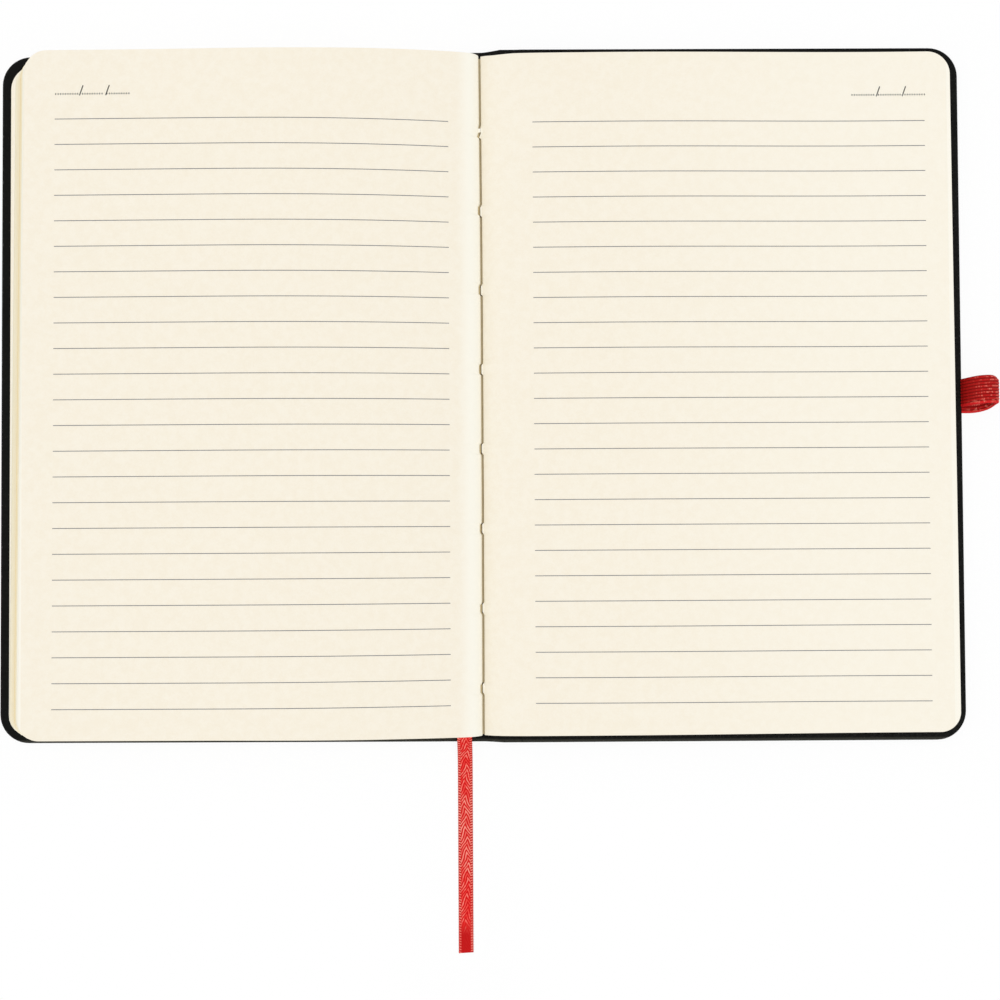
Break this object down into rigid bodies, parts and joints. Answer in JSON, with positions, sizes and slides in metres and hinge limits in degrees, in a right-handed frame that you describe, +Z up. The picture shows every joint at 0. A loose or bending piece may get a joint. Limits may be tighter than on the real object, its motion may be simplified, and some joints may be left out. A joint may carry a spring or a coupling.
{
  "type": "open hardcover notebook",
  "caption": "Ruled notebook lying open near its end, with a leatherette case, ribbon marker and elastic pen loop.",
  "frame": {"origin": "on the table, under the middle of the spine", "axes": "+X towards the right-hand (back) cover's fore edge, +Y towards the head of the book, +Z up"},
  "size_m": [0.3094, 0.2803, 0.0177],
  "materials": {
    "page_paper": "uncoated cream",
    "endpaper": "uncoated cream, heavier",
    "glue": "dried white binding glue",
    "lining_cloth": "open gauze",
    "board": "grey board",
    "leatherette": "fine-grained black leatherette",
    "elastic": "ribbed woven elastic",
    "satin_ribbon": "woven satin"
  },
  "bodies": {
    "book_block": {"text_block": "page_paper", "binding_glue": "glue", "spine_lining": "lining_cloth", "front_flyleaf": "endpaper", "back_flyleaf": "endpaper", "spine_board": "board", "spine_wrap": "leatherette", "ribbon": "satin_ribbon"},
    "front_cover": {"front_board": "board", "front_wrap": "leatherette", "front_pastedown": "endpaper"},
    "back_cover": {"back_board": "board", "back_wrap": "leatherette", "back_pastedown": "endpaper", "pen_loop": "elastic"}
  },
  "joints": [
    {"name": "front_joint", "type": "hinge", "parent": "book_block", "child": "front_cover", "pos_m": [-0.0098, 0, 0.0012], "axis": [0, -1, 0], "range_deg": [0, 90]},
    {"name": "back_joint", "type": "hinge", "parent": "book_block", "child": "back_cover", "pos_m": [0.0098, 0, 0.0041], "axis": [0, 1, 0], "range_deg": [0, 90]}
  ]
}
